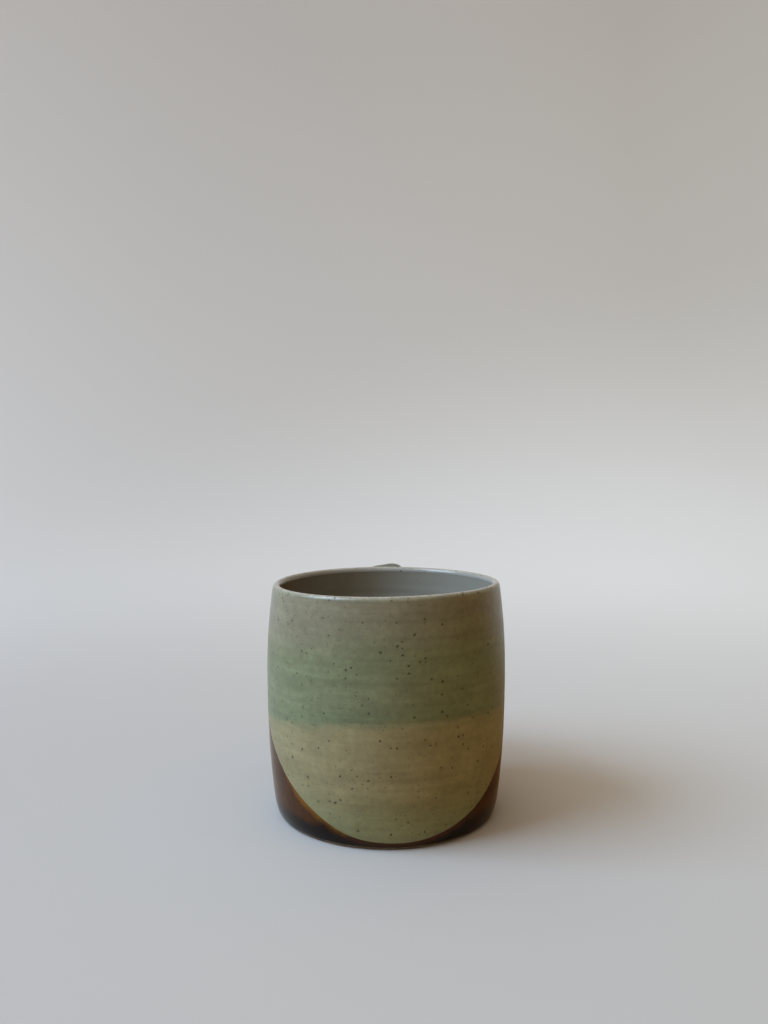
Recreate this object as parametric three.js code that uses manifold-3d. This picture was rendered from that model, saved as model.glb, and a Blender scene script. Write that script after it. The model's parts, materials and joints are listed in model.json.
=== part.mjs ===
// A wheel-thrown stoneware mug with a pulled strap handle and dipped glazes.
// Millimetres, +Z up. The origin is on the cup's axis, in the plane that the foot stands on.
// The handle is on the +Y side, behind the front of the cup.

import * as THREE from 'three';
import { ParametricGeometry } from 'three/addons/geometries/ParametricGeometry.js';
import { mergeVertices } from 'three/addons/utils/BufferGeometryUtils.js';
import Module from 'manifold-3d';

const wasm = await Module();
wasm.setup();

// Thrown cup, sizes of the bare clay
const CLAY_HEIGHT = 81.9;
const RIM_RADIUS = 40.1;
const BASE_RADIUS = 38.9;
const BELLY_HEIGHT = 52;
const BELLY_SWELL = 2.43;
const HEEL_HEIGHT = 6.5;
const HEEL_INSET = 1.9;
const LIP_THICKNESS = 1.9;
const LIP_CROWN = 1.3;
const WALL_THICKNESS = 3.8;
const FLOOR_THICKNESS = 5;
const INNER_CORNER_RADIUS = 9;

// Glaze coats
const GLAZE_THICKNESS = 0.35;
const CONTACT_GAP = 0.05;
const BARE_FOOT_HEIGHT = 0.8;

// Glaze lines: height on the cup's axis, then the rise per millimetre to the right and to the back
const RIM_DIP = { height: 37.2, riseRight: 0.045, riseBack: -0.107 };
const SLANT_DIP = { height: 38.8, riseRight: -0.08, riseBack: 0.918 };

// Strap handle: stations of its centre line, as drops from the rim, heights, and reaches from the belly.
// A slope is the rise per millimetre of reach with which the strap leaves the wall.
const UPPER_JOINT_DROP = 12;
const UPPER_JOINT_SLOPE = 0.85;
const CREST_DROP = 4.2;
const CREST_REACH = 13.5;
const OUTER_DROP = 27;
const OUTER_REACH = 28.5;
const LOWER_JOINT_HEIGHT = 19;
const LOWER_JOINT_SLOPE = 0.5;
const STRAP_EMBED = 8;

// Strap section at the upper joint, at the middle and at the lower joint
const STRAP_WIDTH = { root: 17, middle: 12.5, tail: 15 };
const STRAP_THICKNESS = { root: 8, middle: 6.4, tail: 6.2 };
const STRAP_TWIST = THREE.MathUtils.degToRad(13);
const STRAP_SQUARENESS = 2.5;

// Slip joints: the layer under the strap's end and the fillet round it
const SLIP_LAYER = 0.5;
const FILLET_FLARE = 2.8;
const FILLET_SUNK = 1.5;
const FILLET_REACH = 6;
const FILLET_HOLLOW = 2;

// Facets
const TURN_STEPS = 48;
const FOOT_STEPS = 2;
const HEEL_STEPS = 3;
const WALL_STEPS = 7;
const LIP_STEPS = 6;
const BORE_STEPS = 5;
const CORNER_STEPS = 4;
const STRAP_SIDES = 18;
const STRAP_STEPS = 34;
const END_CROWDING = 0.5;
const MERGE_DISTANCE = 1e-4;

const LIP_BASE = CLAY_HEIGHT - LIP_CROWN;

// The belly swells out from the straight line between base and rim
const BELLY_RADIUS = THREE.MathUtils.lerp(BASE_RADIUS, RIM_RADIUS, BELLY_HEIGHT / LIP_BASE) + BELLY_SWELL;

// Outside of the wall: a parabola from the belly to the rim, a slightly steeper curve down to the base
const LOWER_WALL_POWER = 2.4;

function wallRadius(height) {
  if (height > BELLY_HEIGHT) {
    const up = (height - BELLY_HEIGHT) / (LIP_BASE - BELLY_HEIGHT);
    return BELLY_RADIUS - (BELLY_RADIUS - RIM_RADIUS) * up ** 2;
  }
  const down = (BELLY_HEIGHT - height) / BELLY_HEIGHT;
  return BELLY_RADIUS - (BELLY_RADIUS - BASE_RADIUS) * down ** LOWER_WALL_POWER;
}

// Inside of the wall: the clay thickens evenly from the lip to the floor
function boreRadius(height) {
  const down = (LIP_BASE - height) / (LIP_BASE - FLOOR_THICKNESS);
  return wallRadius(height) - THREE.MathUtils.lerp(LIP_THICKNESS, WALL_THICKNESS, down);
}

// The heel tucks in under the wall along a quarter ellipse; angle 0 is on the ground
function heelPoint(angle) {
  const height = HEEL_HEIGHT * (1 - Math.cos(angle));
  return new THREE.Vector2(wallRadius(height) - HEEL_INSET * (1 - Math.sin(angle)), height);
}

// Points of a curve at even steps, its first point left out
function stepped(steps, pointAt) {
  return Array.from({ length: steps }, (_, i) => pointAt((i + 1) / steps));
}

// The clay's skin in one line: from the foot up the outside, over the lip, down the bore to the floor
function skinLine() {
  const bareAngle = Math.acos(1 - BARE_FOOT_HEIGHT / HEEL_HEIGHT);
  const lipCentre = RIM_RADIUS - LIP_THICKNESS / 2;
  const cornerHeight = FLOOR_THICKNESS + INNER_CORNER_RADIUS;
  const cornerCentre = boreRadius(cornerHeight) - INNER_CORNER_RADIUS;

  const foot = [heelPoint(0), ...stepped(FOOT_STEPS, (s) => heelPoint(bareAngle * s))];
  const heel = stepped(HEEL_STEPS, (s) => heelPoint(THREE.MathUtils.lerp(bareAngle, Math.PI / 2, s)));
  const wall = stepped(WALL_STEPS, (s) => {
    const height = THREE.MathUtils.lerp(HEEL_HEIGHT, LIP_BASE, s);
    return new THREE.Vector2(wallRadius(height), height);
  });
  const lip = stepped(LIP_STEPS, (s) => new THREE.Vector2(
    lipCentre + (LIP_THICKNESS / 2) * Math.cos(Math.PI * s),
    LIP_BASE + LIP_CROWN * Math.sin(Math.PI * s),
  ));
  const bore = stepped(BORE_STEPS, (s) => {
    const height = THREE.MathUtils.lerp(LIP_BASE, cornerHeight, s);
    return new THREE.Vector2(boreRadius(height), height);
  });
  const corner = stepped(CORNER_STEPS, (s) => new THREE.Vector2(
    cornerCentre + INNER_CORNER_RADIUS * Math.cos((Math.PI / 2) * s),
    cornerHeight - INNER_CORNER_RADIUS * Math.sin((Math.PI / 2) * s),
  ));
  const outside = [...foot, ...heel, ...wall, ...lip];
  return {
    points: [...outside, ...bore, ...corner, new THREE.Vector2(0, FLOOR_THICKNESS)],
    glazeStart: FOOT_STEPS,
    lipTop: outside.length - 1 - LIP_STEPS / 2,
    linerStart: outside.length - 1,
  };
}

const skin = skinLine();

// The skin moved off the clay by a distance, square to its run; a point on the axis stays there
function offsetSkin(distance) {
  const last = skin.points.length - 1;
  return skin.points.map((point, i) => {
    const ahead = skin.points[Math.min(i + 1, last)];
    const behind = skin.points[Math.max(i - 1, 0)];
    const run = ahead.clone().sub(behind).normalize();
    const moved = new THREE.Vector2(point.x + run.y * distance, point.y - run.x * distance);
    return i === last ? new THREE.Vector2(0, moved.y) : moved;
  });
}

function turned(line) {
  return new THREE.LatheGeometry(line, TURN_STEPS).rotateX(Math.PI / 2);
}

// A coat between two stations of the skin, from the contact gap out to its full thickness.
// Its first edge can be lowered, to stay clear of the coat that it meets there.
function coatGeometry(first, last, lowered) {
  const under = offsetSkin(CONTACT_GAP).slice(first, last + 1);
  const over = offsetSkin(CONTACT_GAP + GLAZE_THICKNESS).slice(first, last + 1);
  under[0].y -= lowered;
  over[0].y -= lowered;
  return turned([...under.reverse(), ...over, under[0]]);
}

// Solids for cutting and joining
function solidOf(geometry) {
  const bare = geometry.clone();
  bare.deleteAttribute('normal');
  bare.deleteAttribute('uv');
  const merged = mergeVertices(bare, MERGE_DISTANCE);
  const index = Array.from(merged.index.array);
  const triangles = [];
  for (let i = 0; i < index.length; i += 3) {
    const [a, b, c] = index.slice(i, i + 3);
    if (a !== b && b !== c && c !== a) triangles.push(a, b, c);
  }
  return new wasm.Manifold(new wasm.Mesh({
    numProp: 3,
    vertProperties: Float32Array.from(merged.attributes.position.array),
    triVerts: Uint32Array.from(triangles),
  }));
}

function geometryOf(solid) {
  const mesh = solid.getMesh();
  const geometry = new THREE.BufferGeometry();
  geometry.setAttribute('position', new THREE.BufferAttribute(mesh.vertProperties, mesh.numProp));
  geometry.setIndex(new THREE.BufferAttribute(mesh.triVerts, 1));
  geometry.computeVertexNormals();
  return geometry;
}

// The cup without its hollow, grown by a distance: what a neighbour outside the wall is cut with
function cupEnvelope(distance) {
  const outside = offsetSkin(distance).slice(0, skin.lipTop + 1);
  const ground = new THREE.Vector2(0, outside[0].y);
  const top = new THREE.Vector2(0, outside.at(-1).y);
  return solidOf(turned([ground, ...outside, top]));
}

// Everything under a glaze line, as the glaze in the dipping bucket lay; shift moves its surface
const BUCKET_SIZE = 8 * BELLY_RADIUS;

function underDip(dip, shift) {
  const up = new THREE.Vector3(-dip.riseRight, -dip.riseBack, 1).normalize();
  const turn = new THREE.Quaternion().setFromUnitVectors(new THREE.Vector3(0, 0, 1), up);
  const box = new THREE.BoxGeometry(BUCKET_SIZE, BUCKET_SIZE, BUCKET_SIZE);
  box.translate(0, 0, shift - BUCKET_SIZE / 2).applyQuaternion(turn).translate(0, 0, dip.height);
  return solidOf(box);
}

// Centre line of the strap: out of the wall, over the crest, down the outer side, back to the wall.
// Each bend is a parabola whose corner lies where its two end tangents meet.
const upperJointHeight = CLAY_HEIGHT - UPPER_JOINT_DROP;

function strapCentreLine() {
  const at = (reach, height) => new THREE.Vector3(0, reach, height);
  const crestHeight = CLAY_HEIGHT - CREST_DROP;
  const outerReach = BELLY_RADIUS + OUTER_REACH;
  const upper = at(wallRadius(upperJointHeight), upperJointHeight);
  const crest = at(BELLY_RADIUS + CREST_REACH, crestHeight);
  const outer = at(outerReach, CLAY_HEIGHT - OUTER_DROP);
  const lower = at(wallRadius(LOWER_JOINT_HEIGHT), LOWER_JOINT_HEIGHT);
  const upperCorner = at(upper.y + (crestHeight - upperJointHeight) / UPPER_JOINT_SLOPE, crestHeight);
  const lowerCorner = at(outerReach, LOWER_JOINT_HEIGHT + LOWER_JOINT_SLOPE * (outerReach - lower.y));
  const upperStart = upper.clone().sub(at(1, UPPER_JOINT_SLOPE).setLength(STRAP_EMBED));
  const lowerEnd = lower.clone().sub(at(1, LOWER_JOINT_SLOPE).setLength(STRAP_EMBED));

  const path = new THREE.CurvePath();
  path.add(new THREE.LineCurve3(upperStart, upper));
  path.add(new THREE.QuadraticBezierCurve3(upper, upperCorner, crest));
  path.add(new THREE.QuadraticBezierCurve3(crest, at(outerReach, crestHeight), outer));
  path.add(new THREE.QuadraticBezierCurve3(outer, lowerCorner, lower));
  path.add(new THREE.LineCurve3(lower, lowerEnd));
  return path;
}

const strapPath = strapCentreLine();

// A size that eases from its root value to its middle value and on to its tail value
function eased(size, t) {
  const half = 2 * t;
  return half < 1
    ? THREE.MathUtils.lerp(size.root, size.middle, THREE.MathUtils.smoothstep(half, 0, 1))
    : THREE.MathUtils.lerp(size.middle, size.tail, THREE.MathUtils.smoothstep(half, 1, 2));
}

function superPower(value) {
  return Math.sign(value) * Math.abs(value) ** (2 / STRAP_SQUARENESS);
}

// A point of the strap's skin, with its section grown by a distance; row 0 and row 1 close on the centre line
const ACROSS = new THREE.Vector3(1, 0, 0);

function strapPoint(around, along, growth) {
  const t = along - (END_CROWDING * Math.sin(2 * Math.PI * along)) / (2 * Math.PI);
  const angle = -2 * Math.PI * around;
  const lean = STRAP_TWIST * Math.sin(Math.PI * t);
  const outward = ACROSS.clone().cross(strapPath.getTangent(t));
  const open = along > 0 && along < 1 ? 1 : 0;
  const x = open * (eased(STRAP_WIDTH, t) / 2 + growth) * superPower(Math.cos(angle));
  const y = open * (eased(STRAP_THICKNESS, t) / 2 + growth) * superPower(Math.sin(angle));
  return strapPath.getPoint(t)
    .addScaledVector(ACROSS, x * Math.cos(lean) - y * Math.sin(lean))
    .addScaledVector(outward, x * Math.sin(lean) + y * Math.cos(lean));
}

// The fillet's swelling: full where it is sunk in the wall, gone at the fillet's reach from the wall
function filletSwell(point) {
  const fromWall = Math.hypot(point.x, point.y) - wallRadius(point.z);
  const left = (FILLET_REACH - fromWall) / (FILLET_REACH + FILLET_SUNK);
  return FILLET_FLARE * THREE.MathUtils.clamp(left, 0, 1) ** FILLET_HOLLOW;
}

// The strap lofted along its centre line, grown by a distance, with or without the joints' fillets.
// Its ends lie inside the cup, where the cup then cuts them off.
function strapSolid(growth, filleted) {
  const surface = (around, along, target) => {
    const swell = filleted ? filletSwell(strapPoint(around, along, 0)) : 0;
    target.copy(strapPoint(around, along, growth + swell));
  };
  return solidOf(new ParametricGeometry(surface, STRAP_SIDES, STRAP_STEPS));
}

// Handle: the strap stops on the slip layer, and the slip fills the space to the wall and the fillet
const slipTop = CONTACT_GAP + SLIP_LAYER;
const betweenJoints = { height: (upperJointHeight + LOWER_JOINT_HEIGHT) / 2, riseRight: 0, riseBack: 0 };
const strap = strapSolid(0, false).subtract(cupEnvelope(slipTop + CONTACT_GAP));
const strapSeat = strapSolid(CONTACT_GAP, false).subtract(cupEnvelope(slipTop));
const slip = strapSolid(0, true).subtract(cupEnvelope(CONTACT_GAP)).subtract(strapSeat);

// Liner inside the cup, from the lip's inner edge to the middle of the floor, and the outer coat,
// open where the slip joints pass through, parted along the two glaze lines
const linerCoat = coatGeometry(skin.linerStart, skin.points.length - 1, CONTACT_GAP);
const halfGap = CONTACT_GAP / 2;
const outerCoat = solidOf(coatGeometry(skin.glazeStart, skin.linerStart, 0))
  .subtract(strapSolid(CONTACT_GAP, true));
const lowerCoat = outerCoat.intersect(underDip(RIM_DIP, -halfGap));
const celadonCoat = outerCoat.subtract(underDip(RIM_DIP, halfGap));
const brownCoat = lowerCoat.intersect(underDip(SLANT_DIP, -halfGap));
const creamCoat = lowerCoat.subtract(underDip(SLANT_DIP, halfGap));

// Coat of the handle, over the strap and its fillets, standing on the cup's coat
const handleCoat = strapSolid(CONTACT_GAP + GLAZE_THICKNESS, true)
  .subtract(strapSolid(CONTACT_GAP, true))
  .subtract(cupEnvelope(2 * CONTACT_GAP + GLAZE_THICKNESS));
const handleCeladonCoat = handleCoat.subtract(underDip(RIM_DIP, halfGap));
const handleBrownCoat = handleCoat.intersect(underDip(RIM_DIP, -halfGap));

const mug = new THREE.Group();

function addPiece(name, geometry, color, roughness) {
  const piece = new THREE.Mesh(geometry, new THREE.MeshStandardMaterial({ color, roughness, metalness: 0 }));
  piece.name = name;
  mug.add(piece);
}

const clayLine = [new THREE.Vector2(0, 0), ...skin.points];
addPiece('clay_body', turned(clayLine), '#a89272', 0.85);
addPiece('handle_strap', geometryOf(strap), '#a89272', 0.85);
addPiece('upper_slip_joint', geometryOf(slip.subtract(underDip(betweenJoints, 0))), '#9c8668', 0.9);
addPiece('lower_slip_joint', geometryOf(slip.intersect(underDip(betweenJoints, 0))), '#9c8668', 0.9);

addPiece('liner_glaze', linerCoat, '#c3c4bb', 0.2);
addPiece('celadon_glaze', geometryOf(celadonCoat), '#97a38c', 0.25);
addPiece('cream_glaze', geometryOf(creamCoat), '#b0ab84', 0.25);
addPiece('brown_glaze', geometryOf(brownCoat), '#3b2412', 0.15);
addPiece('handle_celadon_glaze', geometryOf(handleCeladonCoat), '#8f9a85', 0.25);
addPiece('handle_brown_glaze', geometryOf(handleBrownCoat), '#3b2412', 0.15);

export default mug;
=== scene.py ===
"""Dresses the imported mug: thrown cup, pulled handle, dipped glazes, a pale studio sweep and the camera.

Shapes are worked out in millimetres, in the frame of the CAD, and turn to metres when a mesh is made.
The foot stands on z = 0, the handle is towards +Y and the front of the cup towards -Y.
"""

import json
import logging
import math
from dataclasses import dataclass, field
from enum import Enum
from typing import Any, Callable

import bmesh
import bpy
import numpy as np
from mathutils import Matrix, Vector

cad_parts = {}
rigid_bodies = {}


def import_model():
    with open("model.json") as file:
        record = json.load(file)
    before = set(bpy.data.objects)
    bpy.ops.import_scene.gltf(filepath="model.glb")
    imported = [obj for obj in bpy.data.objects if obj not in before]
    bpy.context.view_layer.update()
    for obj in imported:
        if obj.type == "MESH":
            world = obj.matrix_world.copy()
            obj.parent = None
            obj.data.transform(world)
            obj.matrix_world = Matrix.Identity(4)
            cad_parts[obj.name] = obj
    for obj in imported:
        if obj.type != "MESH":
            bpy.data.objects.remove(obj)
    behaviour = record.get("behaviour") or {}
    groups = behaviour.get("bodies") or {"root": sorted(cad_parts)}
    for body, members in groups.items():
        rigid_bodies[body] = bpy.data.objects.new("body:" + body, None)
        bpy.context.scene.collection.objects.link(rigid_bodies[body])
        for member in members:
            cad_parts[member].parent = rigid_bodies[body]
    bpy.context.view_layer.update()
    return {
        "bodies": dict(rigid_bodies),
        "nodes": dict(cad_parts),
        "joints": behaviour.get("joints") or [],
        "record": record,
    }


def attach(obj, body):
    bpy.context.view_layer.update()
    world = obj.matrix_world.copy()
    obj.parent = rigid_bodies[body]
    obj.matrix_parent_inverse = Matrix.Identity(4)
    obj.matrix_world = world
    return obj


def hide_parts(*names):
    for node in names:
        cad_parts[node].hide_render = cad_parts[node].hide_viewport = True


Array = np.ndarray
Colour = tuple[float, float, float, float]
Socket = bpy.types.NodeSocket
Xyz = tuple[float, float, float]
# Waves round the axis: size in millimetres, count in a turn and angle at which each starts
Waves = tuple[tuple[float, int, float], ...]

MM = 0.001
BODY = "root"
WELD_DISTANCE = 0.001 * MM
CREASE_ANGLE = math.radians(50)
# Share of the centre line's length at which the strap has the sizes of its middle
STRAP_MIDDLE = 0.5
# How many finer noises lie in a soft pattern and in a ragged one
SOFT_DETAIL = 2.0
RAGGED_DETAIL = 3.0
# Takes the height out of a place that is multiplied by it
GROUND_PLAN: Xyz = (1.0, 1.0, 0.0)

log = logging.getLogger("mug")


class Mark(Enum):
    """Measures that a piece carries on its points, for its glaze to read."""

    OVER_RIM_DIP = "over_rim_dip"
    OVER_SLANT_DIP = "over_slant_dip"
    THIN = "thin"
    INSIDE = "inside"


class Wrap(Enum):
    """Which ways of a grid close on themselves."""

    ROWS = (True, False)
    COLUMNS = (False, True)
    BOTH = (True, True)


class Coat(Enum):
    """The two speckled glazes that meet at the soft line of the rim dip."""

    CELADON = "celadon"
    CREAM = "cream"


class Kind(Enum):
    """The kinds of shader node that the finishes are made of."""

    BUMP = "ShaderNodeBump"
    CELLS = "ShaderNodeTexVoronoi"
    COORDINATES = "ShaderNodeTexCoord"
    LIGHT_PATH = "ShaderNodeLightPath"
    MARK = "ShaderNodeAttribute"
    MATH = "ShaderNodeMath"
    MIX = "ShaderNodeMix"
    NOISE = "ShaderNodeTexNoise"
    RANGE = "ShaderNodeMapRange"
    SPLIT = "ShaderNodeSeparateXYZ"
    TONE = "ShaderNodeHueSaturation"
    VECTOR = "ShaderNodeVectorMath"


# Small tools


def linear(hex_colour: str) -> Colour:
    """Turns an sRGB colour to linear light, by the curve that defines sRGB.

    Args:
        hex_colour: The colour as #rrggbb.

    Returns:
        Linear red, green and blue, and an alpha of one.
    """
    srgb = np.array([int(hex_colour[i:i + 2], 16) for i in (1, 3, 5)]) / 255
    light = np.where(srgb <= 0.04045, srgb / 12.92, ((srgb + 0.055) / 1.055) ** 2.4)
    return (*light.tolist(), 1.0)


def eased(low: float, high: float, value: Array) -> Array:
    """Rises from 0 at low to 1 at high with level ends, t * t * (3 - 2 t).

    Args:
        low: Value at which the rise starts.
        high: Value at which it ends.
        value: Where to read it.

    Returns:
        The share of the rise at each value.
    """
    t = np.clip((value - low) / (high - low), 0, 1)
    return t * t * (3 - 2 * t)


def first_crossing(run: Array, gap: Array) -> Array:
    """Finds where a measure first rises through zero along each row, by a straight line between samples.

    Args:
        run: Sample positions, the same for all rows.
        gap: The measure, one row per line, negative at its start.

    Returns:
        One position for each row.
    """
    after = np.maximum(np.argmax(gap > 0, axis=1), 1)
    rows = np.arange(gap.shape[0])
    below, above = gap[rows, after - 1], gap[rows, after]
    share = below / (below - above)
    return run[after - 1] + share * (run[after] - run[after - 1])


def run_along(across: Array, up: Array) -> Array:
    """Distance of each point of a line from its start, as the sum of the straight steps to it."""
    return np.concatenate([[0], np.cumsum(np.hypot(np.diff(across), np.diff(up)))])


def turned(radius: Array, height: Array, turn: Array) -> Array:
    """Points of a profile turned round the axis: radius times cosine and sine of the turn, and height."""
    return np.stack(np.broadcast_arrays(radius * np.cos(turn), radius * np.sin(turn), height), axis=-1)


def grid_piece(name: str, points: Array, wrap: Wrap, marks: dict[Mark, Array]) -> bpy.types.Object:
    """Makes a mesh of quads on a grid of points, with poles and seams welded.

    A quad faces along the cross product of the step to the next row and the step to the next column.

    Args:
        name: Name of the piece.
        points: Rows by columns by three coordinates, in millimetres.
        wrap: Which ways of the grid close on themselves.
        marks: Measures on the points, each rows by columns.

    Returns:
        The new object, at the origin.
    """
    rows, columns = points.shape[:2]
    wrap_rows, wrap_columns = wrap.value
    row = np.arange(rows if wrap_rows else rows - 1)[:, None]
    column = np.arange(columns if wrap_columns else columns - 1)[None, :]
    next_row, next_column = (row + 1) % rows, (column + 1) % columns
    corners = [row * columns + column, next_row * columns + column,
               next_row * columns + next_column, row * columns + next_column]
    quads = np.stack(corners, axis=-1).reshape(-1, 4)

    mesh = bpy.data.meshes.new(name)
    mesh.vertices.add(rows * columns)
    mesh.vertices.foreach_set("co", (points * MM).astype(np.float32).ravel())
    mesh.loops.add(quads.size)
    mesh.loops.foreach_set("vertex_index", quads.astype(np.int32).ravel())
    mesh.polygons.add(len(quads))
    mesh.polygons.foreach_set("loop_start", np.arange(0, quads.size, 4, dtype=np.int32))
    mesh.update(calc_edges=True)
    for mark, values in marks.items():
        layer = mesh.attributes.new(mark.value, "FLOAT", "POINT")
        layer.data.foreach_set("value", values.astype(np.float32).ravel())

    welded = bmesh.new()
    welded.from_mesh(mesh)
    bmesh.ops.remove_doubles(welded, verts=welded.verts, dist=WELD_DISTANCE)
    welded.to_mesh(mesh)
    welded.free()
    mesh.validate()
    mesh.shade_smooth()
    mesh.set_sharp_from_angle(angle=CREASE_ANGLE)
    piece = bpy.data.objects.new(name, mesh)
    bpy.context.scene.collection.objects.link(piece)
    return piece


def settle(piece: bpy.types.Object, material: bpy.types.Material, slot: str, *nodes: str) -> None:
    """Gives a piece its finish and its place in the frame.

    Args:
        piece: The finished piece.
        material: Its material.
        slot: The record's material slot; not used.
        nodes: The CAD nodes that it stands for.
    """
    piece.data.materials.append(material)
    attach(piece, BODY)
    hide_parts(*nodes)
    log.info("%s: %d faces for %s", piece.name, len(piece.data.polygons), ", ".join(nodes))


# Finishes


@dataclass(frozen=True)
class Span:
    """Where along a measure a colour starts to show, where it has come in, and how far it comes in."""

    low: float
    high: float
    most: float = 1.0


@dataclass(frozen=True)
class Patches:
    """Soft patches: their size along x, y and z in millimetres, and how far they reach up and down."""

    size: Xyz
    reach: float


@dataclass(frozen=True)
class Specks:
    """Ragged iron specks: distance between neighbours and largest radius in millimetres, and how dark.

    A noise with patches of the size tatter pushes their edges about, by tatter_push times the largest
    radius. A higher small_power makes more of them small. The core is the share that is fully dark.
    """

    spacing: float
    largest: float
    most: float = 1.0
    tatter: float = 0.45
    tatter_push: float = 1.6
    small_power: float = 1.4
    core: float = 0.25


# Most of a noise lies in the first span, and the second takes a share as it is
NOISE = Span(0.3, 0.7)
WHOLE = Span(0.0, 1.0)


class NodeSheet:
    """A node tree that grows one node at a time.

    Inputs go by their place where names repeat. A range has its value, the ends of its span and the ends
    that it maps them to at 0 to 4, a mix its share, base and colour at 0, 6 and 7, with the mixed colour
    as output 2, and a math or vector node its terms at 0 to 2.
    """

    def __init__(self, tree: bpy.types.NodeTree) -> None:
        """Takes the tree of a material or a world."""
        self.tree = tree

    def feed(self, node: bpy.types.Node, inputs: dict[int | str, Any]) -> None:
        """Links or sets inputs of a node.

        Args:
            node: The node.
            inputs: Values or sockets for its inputs, by place or name.
        """
        for key, value in inputs.items():
            if isinstance(value, Socket):
                self.tree.links.new(value, node.inputs[key])
            else:
                node.inputs[key].default_value = value

    def add(self, kind: Kind, inputs: dict[int | str, Any] | None = None, out: int | str = 0,
            **settings: Any) -> Socket:
        """Adds one node with its settings and links.

        Args:
            kind: What node it is.
            inputs: Values or sockets for its inputs, by place or name.
            out: Which output to hand back, by place or name.
            settings: Its other settings.

        Returns:
            The output.
        """
        node = self.tree.nodes.new(kind.value)
        for name, value in settings.items():
            setattr(node, name, value)
        self.feed(node, inputs or {})
        return node.outputs[out]

    def fade(self, base: Socket | str, colour: Socket | str, measure: Socket, span: Span) -> Socket:
        """Fades a colour in over a base.

        Args:
            base: The colour under it, as a socket or as #rrggbb.
            colour: The colour that comes in, as a socket or as #rrggbb.
            measure: What drives the fade.
            span: Where it comes in and how far.

        Returns:
            The mixed colour.
        """
        share = self.add(Kind.RANGE, {0: measure, 1: span.low, 2: span.high, 3: 0.0, 4: span.most},
                         interpolation_type="SMOOTHSTEP")
        under, over = (linear(tone) if isinstance(tone, str) else tone for tone in (base, colour))
        return self.add(Kind.MIX, {0: share, 6: under, 7: over}, out=2, data_type="RGBA")


class FinishSheet(NodeSheet):
    """Node tree of one finish, with the patterns that several finishes share."""

    def __init__(self, name: str) -> None:
        """Starts a material whose patterns are measured in millimetres of the piece.

        Args:
            name: Name of the material.
        """
        self.material = bpy.data.materials.new(name)
        self.material.use_nodes = True
        super().__init__(self.material.node_tree)
        self.shader = self.tree.nodes["Principled BSDF"]
        coordinates = self.add(Kind.COORDINATES, out="Object")
        self.place = self.add(Kind.VECTOR, {0: coordinates, "Scale": 1 / MM}, operation="SCALE")

    def cloud(self, size: Xyz, detail: float = SOFT_DETAIL) -> Socket:
        """Soft noise around one half.

        Args:
            size: Size of its patches along x, y and z, in millimetres.
            detail: How many finer noises lie in it.

        Returns:
            The noise.
        """
        per_mm = tuple(1 / length for length in size)
        scaled = self.add(Kind.VECTOR, {0: self.place, 1: per_mm}, operation="MULTIPLY")
        return self.add(Kind.NOISE, {"Vector": scaled, "Scale": 1.0, "Detail": detail})

    def drift(self, size: Xyz, low: float, high: float) -> Socket:
        """A value that drifts between two bounds, in patches of a size."""
        return self.add(Kind.RANGE, {0: self.cloud(size), 1: NOISE.low, 2: NOISE.high, 3: low, 4: high})

    def wander(self, measure: Socket, patches: Patches) -> Socket:
        """Lets a measure stray up and down by the reach of soft patches.

        Args:
            measure: What strays.
            patches: Their size and reach.

        Returns:
            The straying measure.
        """
        noise = self.cloud(patches.size, RAGGED_DETAIL)
        stray = self.add(Kind.MATH, {0: noise, 1: 2 * patches.reach, 2: -patches.reach},
                         operation="MULTIPLY_ADD")
        return self.add(Kind.MATH, {0: measure, 1: stray}, operation="ADD")

    def mottled(self, colour: Socket, patches: Patches) -> Socket:
        """Makes a colour lighter and darker by the reach of the patches, as a share."""
        tone = self.drift(patches.size, 1 - patches.reach, 1 + patches.reach)
        return self.add(Kind.TONE, {"Color": colour, "Value": tone})

    def specks(self, specks: Specks) -> Socket:
        """Balls at scattered points, pushed ragged by noise and cut by the surface, most of them small.

        Args:
            specks: Their sizes.

        Returns:
            1 in the middle of a speck, 0 outside, soft between.
        """
        tatter = self.add(Kind.NOISE, out="Color", inputs={
            "Vector": self.place, "Scale": 1 / specks.tatter, "Detail": RAGGED_DETAIL})
        push = (specks.tatter_push * specks.largest,) * 3
        moved = self.add(Kind.VECTOR, {0: tatter, 1: push, 2: self.place}, operation="MULTIPLY_ADD")
        cells = self.add(Kind.CELLS, {"Vector": moved, "Scale": 1 / specks.spacing}, out="Distance")
        chance = self.add(Kind.SPLIT, {0: cells.node.outputs["Color"]})
        size = self.add(Kind.MATH, {0: chance, 1: specks.small_power}, operation="POWER")
        most = specks.largest / specks.spacing
        edge = self.add(Kind.MATH, {0: size, 1: most}, operation="MULTIPLY")
        core = self.add(Kind.MATH, {0: edge, 1: specks.core}, operation="MULTIPLY")
        return self.add(Kind.RANGE, {0: cells, 1: core, 2: edge, 3: 1.0, 4: 0.0},
                        interpolation_type="SMOOTHSTEP")

    def specked(self, colour: Socket, iron: str, specks: Specks) -> Socket:
        """Darkens a colour with iron specks."""
        return self.fade(colour, iron, self.specks(specks), Span(0, 1, specks.most))

    def finish(self, colour: Socket, roughness: Socket | float, ior: float, relief: Socket,
               depth: float) -> bpy.types.Material:
        """Sets the shader's own sockets and hands the material over.

        Args:
            colour: Its colour.
            roughness: Its roughness, a number or a socket.
            ior: Its index of refraction.
            relief: Height of its grain, around 0 to 1.
            depth: Depth of that grain in millimetres.

        Returns:
            The material.
        """
        bump = self.add(Kind.BUMP, {"Height": relief, "Distance": depth * MM})
        self.feed(self.shader, {"Base Color": colour, "Roughness": roughness, "IOR": ior, "Normal": bump})
        return self.material


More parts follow.
